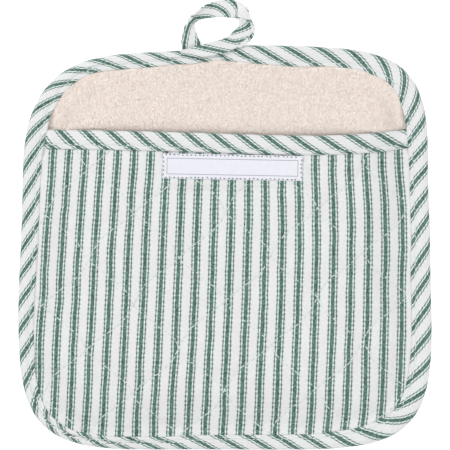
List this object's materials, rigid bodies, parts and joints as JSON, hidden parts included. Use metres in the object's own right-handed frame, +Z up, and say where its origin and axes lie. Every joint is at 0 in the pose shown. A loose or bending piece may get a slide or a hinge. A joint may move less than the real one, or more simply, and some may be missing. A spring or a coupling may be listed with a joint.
{
  "type": "pot holder",
  "caption": "Square quilted pot holder with a terry face, a striped hand pocket, bias-bound edges, a small plain label and a hanging loop.",
  "frame": {"origin": "on the surface the back lies on, under the middle of the whole object's box", "axes": "+Z up from the back to the pocket side, +Y towards the hanging loop, +X to the right seen from the front"},
  "size_m": [0.229, 0.2489, 0.0209],
  "materials": {
    "terry": "cream cotton terry towelling, looped pile",
    "ticking": "white cotton ticking with green stripes, matt",
    "label_satin": "white woven label, soft satin sheen"
  },
  "bodies": {
    "root": {"back_pad": "terry", "pocket_panel": "ticking", "pocket_binding": "ticking", "edge_binding": "ticking", "hanging_loop": "ticking", "label": "label_satin"}
  },
  "joints": []
}
